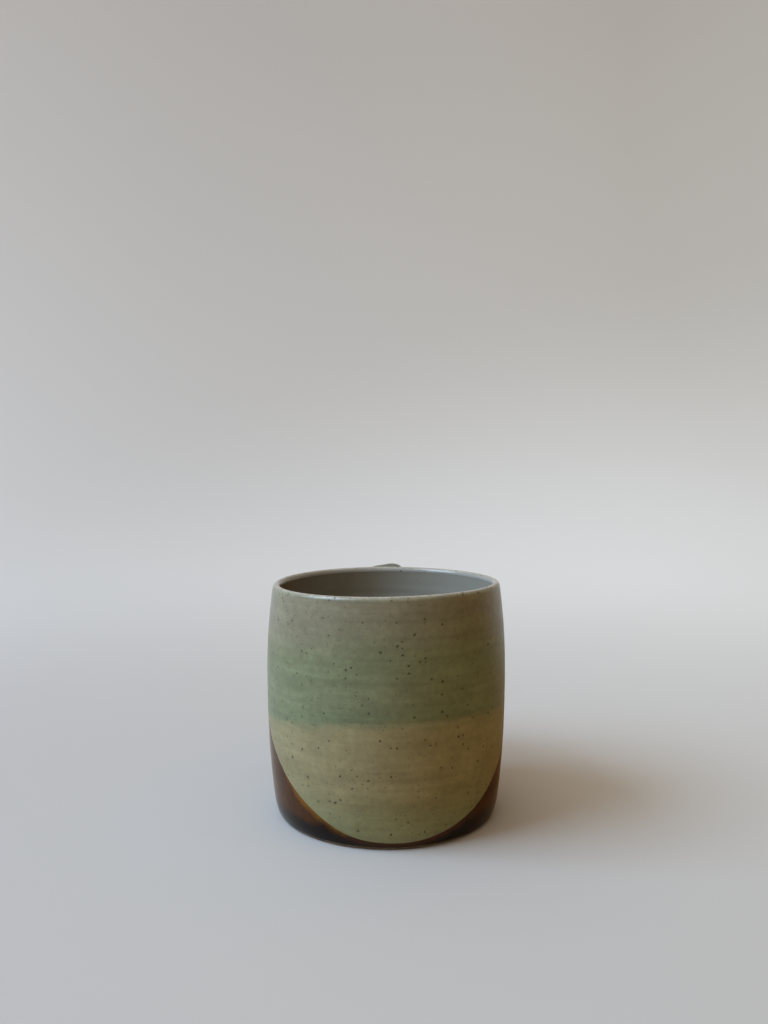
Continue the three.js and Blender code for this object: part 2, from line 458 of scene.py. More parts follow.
@dataclass(frozen=True)
class BareStoneware:
    """Fired stoneware without glaze: sandy, matt, grey-buff, toasted in blotches, freckled with iron."""

    name: str
    body: str = "#b0a78f"
    toasted: str = "#8f846c"
    iron: str = "#4a4134"
    blotch: Xyz = (9.0, 9.0, 9.0)
    freckles: Specks = Specks(1.3, 0.35)
    sand: Xyz = (0.5, 0.5, 0.5)
    sand_depth: float = 0.06
    roughness: float = 0.85
    ior: float = 1.5

    def build(self) -> bpy.types.Material:
        """Lays blotches of toasting, freckles and a sandy grain on each other.

        Returns:
            The material.
        """
        sheet = FinishSheet(self.name)
        colour = sheet.fade(self.body, self.toasted, sheet.cloud(self.blotch), NOISE)
        colour = sheet.specked(colour, self.iron, self.freckles)
        return sheet.finish(colour, self.roughness, self.ior, sheet.cloud(self.sand), self.sand_depth)


@dataclass(frozen=True)
class SpeckledGlaze:
    """Satin glaze on iron-bearing stoneware: soft sheen, faint throwing streaks, specks that melt through.

    The celadon is green where it rolls up thick at its line, greyer towards the rim, pale where it breaks
    over the lip, where a painted highlight of the window's glint adds to it, and dark olive where it lies
    over the brown. The cream is sandy, greener near the foot.
    The two melt into each other at the line, so both finishes draw both sides of it.
    """

    coat: Coat
    cream: str = "#a1a280"
    cream_thick: str = "#959f7a"
    celadon: str = "#87977a"
    celadon_roll: str = "#7f9376"
    celadon_thin: str = "#8e917e"
    over_brown: str = "#565c4e"
    brown: str = "#3a2413"
    # Partly the glaze breaking thin on the lip and edges, partly a painted highlight of the window's glint
    # on the lip.
    lip_pale_and_glint: str = "#b3b0ad"
    lip_inside: str = "#9a9d99"
    iron: str = "#2b2718"
    thick: Span = Span(22.0, 8.0)
    thick_stray: Patches = Patches((14.0, 14.0, 9.0), 5.0)
    thin: Span = Span(18.0, 36.0)
    thin_stray: Patches = Patches((24.0, 24.0, 7.0), 6.0)
    roll: Span = Span(7.0, 1.5)
    roll_stray: Patches = Patches((18.0, 18.0, 3.0), 1.5)
    line: Span = Span(-2.3, 2.3)
    line_stray: Patches = Patches((7.0, 7.0, 1.5), 2.2)
    lapped: Span = Span(1.0, -2.0)
    streaks: Patches = Patches((50.0, 50.0, 1.8), 0.08)
    clouds: Patches = Patches((11.0, 11.0, 6.0), 0.09)
    mottle: Patches = Patches((2.2, 2.2, 2.2), 0.085)
    pits: Patches = Patches((0.7, 0.7, 0.7), 0.05)
    coarse_specks: Specks = Specks(1.8, 0.75, 0.8, small_power=2.6)
    fine_specks: Specks = Specks(1.0, 0.32, 0.5)
    lip_break: Span = Span(0.4, 1.2, 0.75)
    lip_stray: Patches = Patches((1.8, 1.8, 1.8), 0.7)
    lip_specks: Specks = Specks(0.9, 0.5, 0.7)
    lip_lumps: float = 3.0
    grain: Xyz = (1.3, 1.3, 1.3)
    grain_depth: float = 0.02
    satin: float = 0.34
    gloss: float = 0.1
    ior: float = 1.5

    def build(self) -> bpy.types.Material:
        """Colours the glaze by its line, then lays on streaks, patches, the lip, specks and a fine grain.

        Returns:
            The material.
        """
        sheet = FinishSheet(f"satin_{self.coat.value}_glaze")
        colour = self.fields(sheet)
        for patches in (self.streaks, self.clouds, self.mottle, self.pits):
            colour = sheet.mottled(colour, patches)
        roughness: Socket | float = self.satin
        relief = sheet.cloud(self.grain)
        if self.coat is Coat.CELADON:
            colour, polish = self.lip(sheet, colour)
            roughness = sheet.add(Kind.RANGE, {0: polish, 3: self.satin, 4: self.gloss})
            lumps = sheet.add(Kind.RANGE, {0: polish, 3: 1.0, 4: self.lip_lumps})
            relief = sheet.add(Kind.MATH, {0: relief, 1: lumps}, operation="MULTIPLY")
        for specks in (self.coarse_specks, self.fine_specks):
            colour = sheet.specked(colour, self.iron, specks)
        return sheet.finish(colour, roughness, self.ior, relief, self.grain_depth)

    def fields(self, sheet: FinishSheet) -> Socket:
        """Lays the fields of colour: cream under the rim dip's line, celadon over it, darker over brown.

        Args:
            sheet: The finish that is being made.

        Returns:
            The colour.
        """
        over = sheet.add(Kind.MARK, out="Fac", attribute_name=Mark.OVER_RIM_DIP.value)
        height = sheet.add(Kind.SPLIT, {0: sheet.place}, out="Z")
        low = sheet.wander(height, self.thick_stray)
        cream = sheet.fade(self.cream, self.cream_thick, low, self.thick)
        rising = sheet.wander(over, self.thin_stray)
        celadon = sheet.fade(self.celadon, self.celadon_thin, rising, self.thin)
        rolled = sheet.wander(over, self.roll_stray)
        celadon = sheet.fade(celadon, self.celadon_roll, rolled, self.roll)
        if self.coat is Coat.CELADON:
            slant = sheet.add(Kind.MARK, out="Fac", attribute_name=Mark.OVER_SLANT_DIP.value)
            cream = sheet.fade(cream, self.brown, slant, self.lapped)
            celadon = sheet.fade(celadon, self.over_brown, slant, self.lapped)
        return sheet.fade(cream, celadon, sheet.wander(over, self.line_stray), self.line)

    def lip(self, sheet: FinishSheet, colour: Socket) -> tuple[Socket, Socket]:
        """Lets the glaze break pale on the lip, partly as a painted highlight of the window's glint, with
        specks, and turn greyer inside it.

        Args:
            sheet: The finish that is being made.
            colour: Its colour so far.

        Returns:
            The colour, and a measure of how glossy the glaze is there.
        """
        thin, inside = [sheet.add(Kind.MARK, out="Fac", attribute_name=mark.value)
                        for mark in (Mark.THIN, Mark.INSIDE)]
        colour = sheet.fade(colour, self.lip_inside, inside, WHOLE)
        broken = sheet.wander(thin, self.lip_stray)
        # The pale lip is partly thin glaze and partly a painted highlight of the window's glint.
        colour = sheet.fade(colour, self.lip_pale_and_glint, broken, self.lip_break)
        bare = sheet.add(Kind.MATH, {0: sheet.specks(self.lip_specks), 1: thin}, operation="MULTIPLY")
        colour = sheet.fade(colour, self.iron, bare, Span(0, 1, self.lip_specks.most))
        return colour, sheet.add(Kind.MATH, {0: inside, 1: broken}, operation="MAXIMUM")


@dataclass(frozen=True)
class AmberGlaze:
    """Glossy iron glaze: amber where it is thin along its line, red-brown further in, blackish at the foot.

    The extra amber low at the front left, where the window falls, is painted light, and the darker brown
    away from it is painted shade. At the foot it is pooled glaze and painted shade of the heel that curves
    under.
    Its index is below a glaze's own, which keeps the mirrored room as faint as the photograph shows it.
    """

    name: str = "glossy_amber_brown_glaze"
    amber: str = "#7a5512"
    red_brown: str = "#4e2f14"
    pooled_and_shaded_black: str = "#120906"
    over_brown: str = "#565c4e"
    # Painted window light and shade: amber reaches further in near this lower front-left place and the
    # brown darkens away from it.
    lit_amber_place: Xyz = (-24.0, -31.0, 13.0)
    lit_amber_reach: float = 32.0
    lit_amber_gain: float = 3.5
    shaded_brown_loss: float = -2.0
    runs: Patches = Patches((5.0, 5.0, 9.0), 2.5)
    brown_span: Span = Span(2.0, -1.0)
    clouds: Patches = Patches((15.0, 15.0, 10.0), 0.22)
    streaks: Patches = Patches((3.0, 3.0, 12.0), 0.14)
    # Blackish low on the heel: partly pooled glaze, partly painted shade where the heel curves under
    # towards the floor.
    pooled: Span = Span(9.0, 4.5)
    pooled_and_shaded_under: float = 9.0
    pooled_stray: Patches = Patches((9.0, 9.0, 5.0), 2.0)
    lapped: Span = Span(-1.8, 1.8)
    gloss: tuple[float, float] = (0.10, 0.18)
    gloss_patch: Xyz = (5.0, 5.0, 5.0)
    grain: Xyz = (2.5, 2.5, 4.0)
    grain_depth: float = 0.02
    ior: float = 1.34

    def build(self) -> bpy.types.Material:
        """Colours the glaze by its depth under the slanted line, shifted by painted window light and shade,
        in soft runs, olive by the rim dip's edge.

        Returns:
            The material.
        """
        sheet = FinishSheet(self.name)
        slant, thin, over = [sheet.add(Kind.MARK, out="Fac", attribute_name=mark.value)
                             for mark in (Mark.OVER_SLANT_DIP, Mark.THIN, Mark.OVER_RIM_DIP)]
        height = sheet.add(Kind.SPLIT, {0: sheet.place}, out="Z")
        # Painted window light and shade: the amber reaches further in near the lower front left, and the
        # brown darkens away from it.
        off = sheet.add(Kind.VECTOR, {0: sheet.place, 1: self.lit_amber_place}, out="Value",
                        operation="DISTANCE")
        lit_and_shaded_shift = sheet.add(Kind.RANGE, {
            0: off, 1: 0.0, 2: self.lit_amber_reach, 3: self.lit_amber_gain, 4: self.shaded_brown_loss})
        depth = sheet.add(Kind.MATH, {0: slant, 1: lit_and_shaded_shift}, operation="ADD")
        depth = sheet.wander(depth, self.runs)
        colour = sheet.fade(self.amber, self.red_brown, depth, self.brown_span)
        colour = sheet.mottled(sheet.mottled(colour, self.clouds), self.streaks)
        # Pooled glaze and painted shade: the brown turns blackish low on the heel, which curves under, and
        # far below the slanted line.
        under = sheet.add(Kind.MATH, {0: slant, 1: self.pooled_and_shaded_under}, operation="ADD")
        pooled = sheet.add(Kind.MATH, {0: height, 1: under}, operation="MAXIMUM")
        pooled = sheet.wander(pooled, self.pooled_stray)
        colour = sheet.fade(colour, self.pooled_and_shaded_black, pooled, self.pooled)
        colour = sheet.fade(colour, self.red_brown, thin, WHOLE)
        colour = sheet.fade(colour, self.over_brown, over, self.lapped)
        rough = sheet.drift(self.gloss_patch, *self.gloss)
        return sheet.finish(colour, rough, self.ior, sheet.cloud(self.grain), self.grain_depth)


@dataclass(frozen=True)
class LinerGlaze:
    """Poured liner: glossy, pale grey, bluer where it pooled on the floor, darker and browner on its left
    as painted shade.
    """

    name: str = "glossy_grey_liner_glaze"
    pale: str = "#9d9e94"
    thick: str = "#8f9897"
    # Painted shade: the left inside wall, which faces away from the window, turns darker and browner.
    thin: str = "#7c7259"
    iron: str = "#3c3729"
    pooled: Span = Span(30.0, 5.0)
    pooled_stray: Patches = Patches((20.0, 20.0, 12.0), 15.0)
    left_shade_span: Span = Span(5.0, -30.0)
    left_shade_stray: Patches = Patches((16.0, 16.0, 16.0), 8.0)
    specks: Specks = Specks(2.6, 0.4, 0.6)
    gloss: tuple[float, float] = (0.10, 0.16)
    gloss_patch: Xyz = (6.0, 6.0, 6.0)
    grain: Xyz = (3.5, 3.5, 2.0)
    grain_depth: float = 0.03
    ior: float = 1.52

    def build(self) -> bpy.types.Material:
        """Colours the glaze by place, with faint specks and soft dimples.

        Returns:
            The material.
        """
        sheet = FinishSheet(self.name)
        height = sheet.add(Kind.SPLIT, {0: sheet.place}, out="Z")
        # Painted shade: darker and browner towards the left inside wall, away from the window.
        side = sheet.wander(height.node.outputs["X"], self.left_shade_stray)
        colour = sheet.fade(self.pale, self.thin, side, self.left_shade_span)
        deep = sheet.wander(height, self.pooled_stray)
        colour = sheet.fade(colour, self.thick, deep, self.pooled)
        colour = sheet.specked(colour, self.iron, self.specks)
        rough = sheet.drift(self.gloss_patch, *self.gloss)
        return sheet.finish(colour, rough, self.ior, sheet.cloud(self.grain), self.grain_depth)


class Finishes:
    """The mug's materials."""

    def __init__(self) -> None:
        """Makes each of them once."""
        self.clay = BareStoneware("bare_stoneware").build()
        self.slip = BareStoneware("joining_slip", body="#8f7a5a", toasted="#745d40").build()
        self.celadon = SpeckledGlaze(Coat.CELADON).build()
        self.cream = SpeckledGlaze(Coat.CREAM).build()
        self.brown = AmberGlaze().build()
        self.liner = LinerGlaze().build()


# Shapes


@dataclass(frozen=True)
class DipLine:
    """The level of the glaze in a dipping bucket, as the tilted cup met it."""

    height: float
    rise_right: float
    rise_back: float
    waves: Waves

    def over(self, points: Array) -> Array:
        """Height of points over the line: z less the plane's height and the line's waves round the axis.

        Args:
            points: Points in the frame of the CAD.

        Returns:
            One height for each point.
        """
        x, y, z = np.moveaxis(points, -1, 0)
        turn = np.arctan2(y, x)
        wave = sum(size * np.sin(count * turn + start) for size, count, start in self.waves)
        return z - self.height - self.rise_right * x - self.rise_back * y - wave


RIM_DIP = DipLine(height=37.2, rise_right=0.045, rise_back=-0.107,
                  waves=((0.3, 3, 0.4), (0.22, 7, 2.0), (0.12, 13, 1.0)))
SLANT_DIP = DipLine(height=38.8, rise_right=-0.08, rise_back=0.918, waves=((0.2, 5, 1.2), (0.1, 11, 0.3)))


def dip_marks(points: Array) -> dict[Mark, Array]:
    """Heights of a coat's points over both glaze lines."""
    return {Mark.OVER_RIM_DIP: RIM_DIP.over(points), Mark.OVER_SLANT_DIP: SLANT_DIP.over(points)}


@dataclass(frozen=True)
class SkinLine:
    """The clay's skin in one line, from the foot's edge over the lip to the middle of the floor."""

    run: Array
    radius: Array
    height: Array
    heel_end: float
    bare_line: float
    lip_top: float
    liner_start: float

    @property
    def end(self) -> float:
        """Length of the whole line."""
        return float(self.run[-1])

    def lifted(self, run: Array, lift: Array) -> tuple[Array, Array]:
        """Moves points of the line off the clay, square to the line.

        Args:
            run: Distances along the line.
            lift: Distances off the clay.

        Returns:
            Radius and height of each point.
        """
        to_radius = np.gradient(self.radius, self.run)
        to_height = np.gradient(self.height, self.run)
        radius = np.interp(run, self.run, self.radius) + lift * np.interp(run, self.run, to_height)
        height = np.interp(run, self.run, self.height) - lift * np.interp(run, self.run, to_radius)
        return radius, height


@dataclass(frozen=True)
class CupShape:
    """Sizes of the thrown cup in bare clay, and the lines that they give."""

    clay_height: float = 81.9
    rim_radius: float = 40.1
    base_radius: float = 38.9
    belly_height: float = 52.0
    belly_swell: float = 2.43
    lower_wall_power: float = 2.4
    heel_height: float = 6.5
    heel_inset: float = 1.9
    lip_thickness: float = 1.9
    lip_crown: float = 1.3
    wall_thickness: float = 3.8
    floor_thickness: float = 5.0
    inner_corner_radius: float = 9.0
    bare_foot_height: float = 0.8
    foot_tuck: float = 1.05
    foot_round: float = 0.35
    foot_undercut: float = 0.85
    arc_steps: int = 61
    wall_steps: int = 301
    floor_steps: int = 81

    @property
    def lip_base(self) -> float:
        """Height at which the rounded lip starts."""
        return self.clay_height - self.lip_crown

    @property
    def belly_radius(self) -> float:
        """The belly swells out from the straight line between base and rim."""
        share = self.belly_height / self.lip_base
        return self.base_radius + (self.rim_radius - self.base_radius) * share + self.belly_swell

    def wall_radius(self, height: Array) -> Array:
        """Radius of the outside: a parabola from belly to rim, a steeper power curve from belly to base.

        Args:
            height: Heights over the foot.

        Returns:
            One radius for each height.
        """
        up = np.clip((height - self.belly_height) / (self.lip_base - self.belly_height), 0, None)
        down = np.clip((self.belly_height - height) / self.belly_height, 0, None)
        to_rim = (self.belly_radius - self.rim_radius) * up ** 2
        to_base = (self.belly_radius - self.base_radius) * down ** self.lower_wall_power
        return self.belly_radius - to_rim - to_base

    def bore_radius(self, height: Array) -> Array:
        """Radius of the inside: the wall less a thickness that grows evenly from lip to floor.

        Args:
            height: Heights over the foot.

        Returns:
            One radius for each height.
        """
        down = (self.lip_base - height) / (self.lip_base - self.floor_thickness)
        growth = (self.wall_thickness - self.lip_thickness) * down
        return self.wall_radius(height) - self.lip_thickness - growth

    def skin(self) -> SkinLine:
        """Joins heel, wall, lip, bore, inner corner and floor to one line.

        The heel is a quarter ellipse under the wall, met by the upright edge of the foot, whose undercut
        is a small quarter ellipse. The lip is half an ellipse and the corner a quarter circle.

        Returns:
            The line with its lengths and stations.
        """
        quarter = np.linspace(0, math.pi / 2, self.arc_steps)
        half = np.linspace(0, math.pi, self.arc_steps)[1:]
        heel_z = self.heel_height * (1 - np.cos(quarter))
        heel_r = self.wall_radius(heel_z) - self.heel_inset * (1 - np.sin(quarter))
        under_edge = np.clip(1 - heel_z / self.foot_round, 0, 1)
        undercut = self.foot_undercut * (1 - np.sqrt(1 - under_edge ** 2))
        heel_r = np.maximum(heel_r, self.base_radius - self.foot_tuck - undercut)
        wall_z = np.linspace(self.heel_height, self.lip_base, self.wall_steps)[1:]
        lip_r = self.rim_radius - self.lip_thickness / 2 * (1 - np.cos(half))
        lip_z = self.lip_base + self.lip_crown * np.sin(half)
        corner_z = self.floor_thickness + self.inner_corner_radius
        bore_z = np.linspace(self.lip_base, corner_z, self.wall_steps)[1:]
        corner_r = self.bore_radius(np.array(corner_z))
        turn_r = corner_r - self.inner_corner_radius * (1 - np.cos(quarter[1:]))
        turn_z = corner_z - self.inner_corner_radius * np.sin(quarter[1:])
        floor_r = np.linspace(turn_r[-1], 0, self.floor_steps)[1:]
        floor_z = np.full_like(floor_r, self.floor_thickness)

        wall_r, bore_r = self.wall_radius(wall_z), self.bore_radius(bore_z)
        radius = np.concatenate([heel_r, wall_r, lip_r, bore_r, turn_r, floor_r])
        height = np.concatenate([heel_z, wall_z, lip_z, bore_z, turn_z, floor_z])
        run = run_along(radius, height)
        lip_start = len(heel_z) + len(wall_z)
        return SkinLine(
            run, radius, height,
            heel_end=float(run[len(heel_z) - 1]),
            bare_line=float(np.interp(self.bare_foot_height, heel_z, run[:len(heel_z)])),
            lip_top=float(run[lip_start + len(half) // 2 - 1]),
            liner_start=float(run[lip_start + len(half) - 1]))


@dataclass(frozen=True)
class Ring:
    """A wave that a finger leaves up the wall as the wheel turns."""

    size: float
    pitch: float
    climb: int
    stray: float = 0.0
    stray_pitch: float = 30.0

    def rise(self, turn: Array, run: Array) -> Array:
        """A sine wave along the run, climbing with the turn, whose phase strays by a slower sine wave."""
        stray = self.stray * np.sin(2 * math.pi * run / self.stray_pitch + turn)
        return self.size * np.sin(2 * math.pi * run / self.pitch + self.climb * turn + stray)


@dataclass(frozen=True)
class ThrowingMarks:
    """What the potter's hands left: rings up the wall, a cup slightly out of round, an uneven rim."""

    outer_rings: tuple[Ring, ...] = (Ring(size=0.008, pitch=2.6, climb=1, stray=1.5),
                                     Ring(size=0.013, pitch=9.6, climb=-1))
    inner_rings: tuple[Ring, ...] = (Ring(size=0.05, pitch=4.2, climb=1, stray=0.8, stray_pitch=48.0),)
    ring_clear: float = 2.0
    ring_full: float = 10.0
    out_of_round: float = 0.001
    oval_turn: float = 4.0
    rim_waves: Waves = ((0.443, 1, 0.494), (0.189, 2, 4.154))
    rim_reach: float = 45.0

    def rings(self, skin: SkinLine, turn: Array, run: Array) -> Array:
        """Rise of the rings off the skin, faded out at the foot, the lip and the middle of the floor.

        Args:
            skin: The line that the run is measured on.
            turn: Angle round the axis.
            run: Distance along the skin.

        Returns:
            The rise in millimetres.
        """
        outside = eased(skin.heel_end, skin.heel_end + self.ring_full, run)
        outside = outside * eased(skin.lip_top - self.ring_clear, skin.lip_top - self.ring_full, run)
        inside = eased(skin.liner_start + self.ring_clear, skin.liner_start + self.ring_full, run)
        inside = inside * eased(skin.end - self.ring_clear, skin.end - self.ring_full, run)
        outer = sum(ring.rise(turn, run) for ring in self.outer_rings)
        return outside * outer + inside * sum(ring.rise(turn, run) for ring in self.inner_rings)

    def placed(self, skin: SkinLine, turn: Array, run: Array, lift: Array) -> Array:
        """Points of the thrown skin: the lifted line with its rings, turned round the axis.

        Cosine waves make the round slightly oval and let the rim rise and fall.

        Args:
            skin: The line to turn.
            turn: Angles, one row each, in a column.
            run: Distances along the line, rows by columns.
            lift: Distances off the clay, rows by columns.

        Returns:
            Rows by columns by three coordinates.
        """
        radius, height = skin.lifted(run, lift + self.rings(skin, turn, run))
        top = float(skin.height.max())
        oval = self.out_of_round * np.cos(2 * turn + self.oval_turn * height / top)
        radius = radius * (1 + oval * eased(0, self.rim_reach, height))
        rise = sum(size * np.cos(count * turn - start) for size, count, start in self.rim_waves)
        height = height + rise * eased(top - self.rim_reach, top, height)
        return turned(radius, height, turn)


@dataclass(frozen=True)
class CoatSizes:
    """Thickness of the glaze coats and how they lap at their lines."""

    gap: float = 0.05
    thickness: float = 0.35
    lap: float = 1.4
    roll: float = 0.05
    bead: float = 0.06
    bead_width: float = 1.3
    edge_roll: float = 0.025
    edge_width: float = 1.0
    roll_edge: float = 0.4
    roll_width: float = 2.2

    @property
    def face(self) -> float:
        """Height of a coat's face over the clay."""
        return self.gap + self.thickness

    def over_neighbour(self, over: Array) -> Array:
        """Face of a coat over its neighbour: a slight roll over the line, dipping under at its edge."""
        rise = eased(-self.roll_edge, self.roll_width, over) - eased(-self.roll_edge, -self.lap, over)
        return self.face + self.roll * rise

    def under_neighbour(self, over: Array) -> Array:
        """Face of a coat that runs on under its neighbour, sinking past the line."""
        return self.face - 2 * self.roll * eased(0, self.lap, over)


@dataclass
class ThrownCup:
    """The clay cup and the glaze coats on it."""

    shape: CupShape = field(default_factory=CupShape)
    touch: ThrowingMarks = field(default_factory=ThrowingMarks)
    coat: CoatSizes = field(default_factory=CoatSizes)
    lip_break: float = 1.6
    lip_inside: float = 1.3
    foot_steps: int = 8
    heel_steps: int = 60
    skin_steps: int = 150
    turn_steps: int = 384
    face_steps: int = 140
    under_steps: int = 14
    lip_crowd: float = 1.5
    front_from: float = -1.25 * math.pi
    front_to: float = 0.25 * math.pi
    front_steps: int = 1501

    def __post_init__(self) -> None:
        """Works out the skin line and even angles round the axis."""
        self.skin = self.shape.skin()
        self.turn = np.linspace(-math.pi, math.pi, self.turn_steps, endpoint=False)

    def crossing(self, dip: DipLine, turn: Array) -> Array:
        """Finds where a glaze line crosses the outside, as distances along the skin.

        Args:
            dip: The glaze line.
            turn: Angles round the axis.

        Returns:
            One distance for each angle.
        """
        run = self.skin.run[self.skin.run < self.skin.lip_top]
        grid = np.broadcast_to(run, (len(turn), len(run)))
        points = self.touch.placed(self.skin, turn[:, None], grid, np.full_like(grid, self.coat.face))
        return first_crossing(run, dip.over(points))

    def shell(self, name: str, turn: Array, low: Array, high: Array, lift: Callable[[Array], Array],
              wrap: Wrap, crowd: float = 1.0) -> bpy.types.Object:
        """Makes a coat as a closed shell: out along its face from low to high, back along its underside.

        Args:
            name: Name of the piece.
            turn: Angles round the axis.
            low: Where the coat starts on the skin, for each angle.
            high: Where it ends, for each angle.
            lift: Gives the face's height over the clay from the run.
            wrap: Whether the coat goes all the way round.
            crowd: Power that crowds the rows towards the end.

        Returns:
            The coat.
        """
        face = 1 - (1 - np.linspace(0, 1, self.face_steps)) ** crowd
        share = np.concatenate([face, np.linspace(1, 0, self.under_steps)])
        run = low[:, None] + (high - low)[:, None] * share
        rise = lift(run)
        rise[:, self.face_steps:] = self.coat.gap
        points = self.touch.placed(self.skin, turn[:, None], run, rise)
        return grid_piece(name, points, wrap, self.marks(points, run))

    def marks(self, points: Array, run: Array) -> dict[Mark, Array]:
        """Measures for the glazes: heights over both lines, thinness on the lip, and what is inside it.

        Args:
            points: Points of a coat.
            run: Their distances along the skin.

        Returns:
            Each measure on the points.
        """
        past_lip = run - self.skin.lip_top
        thin, inside = eased(self.lip_break, 0, np.abs(past_lip)), eased(0, self.lip_inside, past_lip)
        return dip_marks(points) | {Mark.THIN: thin, Mark.INSIDE: inside}

    def clay(self) -> bpy.types.Object:
        """Makes the bare clay as one closed body: the skin and the flat foot under it, turned round.

        Returns:
            The clay.
        """
        foot = np.linspace(0, self.skin.radius[0], self.foot_steps, endpoint=False)
        heel = np.linspace(0, self.skin.heel_end, self.heel_steps)
        run = np.concatenate([heel, np.linspace(self.skin.heel_end, self.skin.end, self.skin_steps)[1:]])
        grid = np.broadcast_to(run, (self.turn_steps, len(run)))
        turn = self.turn[:, None]
        body = self.touch.placed(self.skin, turn, grid, np.zeros_like(grid))
        ground = turned(foot, np.zeros_like(foot), turn)
        return grid_piece("thrown_clay_body", np.concatenate([ground, body], axis=1), Wrap.ROWS, {})

    def celadon(self) -> bpy.types.Object:
        """Makes the rim dip: from its soft line up the outside and over the lip.

        Returns:
            The coat.
        """
        line = self.crossing(RIM_DIP, self.turn)
        end = np.full_like(line, self.skin.liner_start)

        def lift(run: Array) -> Array:
            """A slight roll over the line."""
            return self.coat.over_neighbour(run - line[:, None])

        start = line - self.coat.lap
        return self.shell("celadon_rim_coat", self.turn, start, end, lift, Wrap.BOTH, self.lip_crowd)

    def cream(self) -> bpy.types.Object:
        """Makes the pale coat of the front: from the slanted line to the rim dip, pointed at both ends.

        Returns:
            The coat.
        """
        fine = np.linspace(self.front_from, self.front_to, self.front_steps)
        room = self.crossing(RIM_DIP, fine) + self.coat.lap - self.crossing(SLANT_DIP, fine)
        inside = np.flatnonzero(room > 0)
        turn = np.linspace(fine[inside[0]], fine[inside[-1]], self.turn_steps)
        low = self.crossing(SLANT_DIP, turn)
        line = self.crossing(RIM_DIP, turn)
        high = np.maximum(line + self.coat.lap, low)

        def lift(run: Array) -> Array:
            """A small roll at the slanted line, sinking under the rim dip."""
            roll = self.coat.edge_roll * eased(0, self.coat.edge_width, run - low[:, None])
            return self.coat.under_neighbour(run - line[:, None]) + roll

        return self.shell("cream_front_coat", turn, low, high, lift, Wrap.COLUMNS)

    def brown(self) -> bpy.types.Object:
        """Makes the slanted dip: from a rounded bead at the bare foot up to whichever line comes first.

        Returns:
            The coat.
        """
        low = np.full_like(self.turn, self.skin.bare_line)
        line = np.minimum(self.crossing(RIM_DIP, self.turn), self.crossing(SLANT_DIP, self.turn))

        def lift(run: Array) -> Array:
            """A quarter round at the foot with a thicker bead above it, sinking past the upper line.

            Args:
                run: Distances along the skin.

            Returns:
                Heights of the face over the clay.
            """
            up = np.clip((run - low[:, None]) / self.coat.bead_width, 0, 1)
            rounded = np.sqrt(1 - (1 - up) ** 2)
            bead = self.coat.bead * np.sin(math.pi * up)
            full = self.coat.under_neighbour(run - line[:, None]) + bead
            return self.coat.gap + rounded * (full - self.coat.gap)

        return self.shell("brown_slant_coat", self.turn, low, line + self.coat.lap, lift, Wrap.BOTH)

    def liner(self) -> bpy.types.Object:
        """Makes the poured coat inside: from the lip's inner edge down the bore and across the floor.

        Returns:
            The coat.
        """
        low = np.full_like(self.turn, self.skin.liner_start)
        high = np.full_like(self.turn, self.skin.end)

        def lift(run: Array) -> Array:
            """An even coat."""
            return np.full_like(run, self.coat.face)

        return self.shell("liner_coat", self.turn, low, high, lift, Wrap.BOTH)

    def build(self, finishes: Finishes) -> None:
        """Makes and dresses the clay and its four coats.

        Args:
            finishes: The mug's materials.
        """
        settle(self.clay(), finishes.clay, "stoneware_clay", "clay_body")
        settle(self.liner(), finishes.liner, "liner_glaze", "liner_glaze")
        settle(self.celadon(), finishes.celadon, "celadon_glaze", "celadon_glaze")
        settle(self.cream(), finishes.cream, "cream_glaze", "cream_glaze")
        settle(self.brown(), finishes.brown, "brown_glaze", "brown_glaze")


@dataclass(frozen=True)
class StrapSize:
    """A size of the strap at its upper joint, at its middle and at its lower joint."""

    root: float
    middle: float
    tail: float

    def at(self, along: Array) -> Array:
        """Eases from root to middle over the first half and from middle to tail over the second."""
        upper = self.root + (self.middle - self.root) * eased(0, STRAP_MIDDLE, along)
        return upper + (self.tail - self.middle) * eased(STRAP_MIDDLE, 1, along)


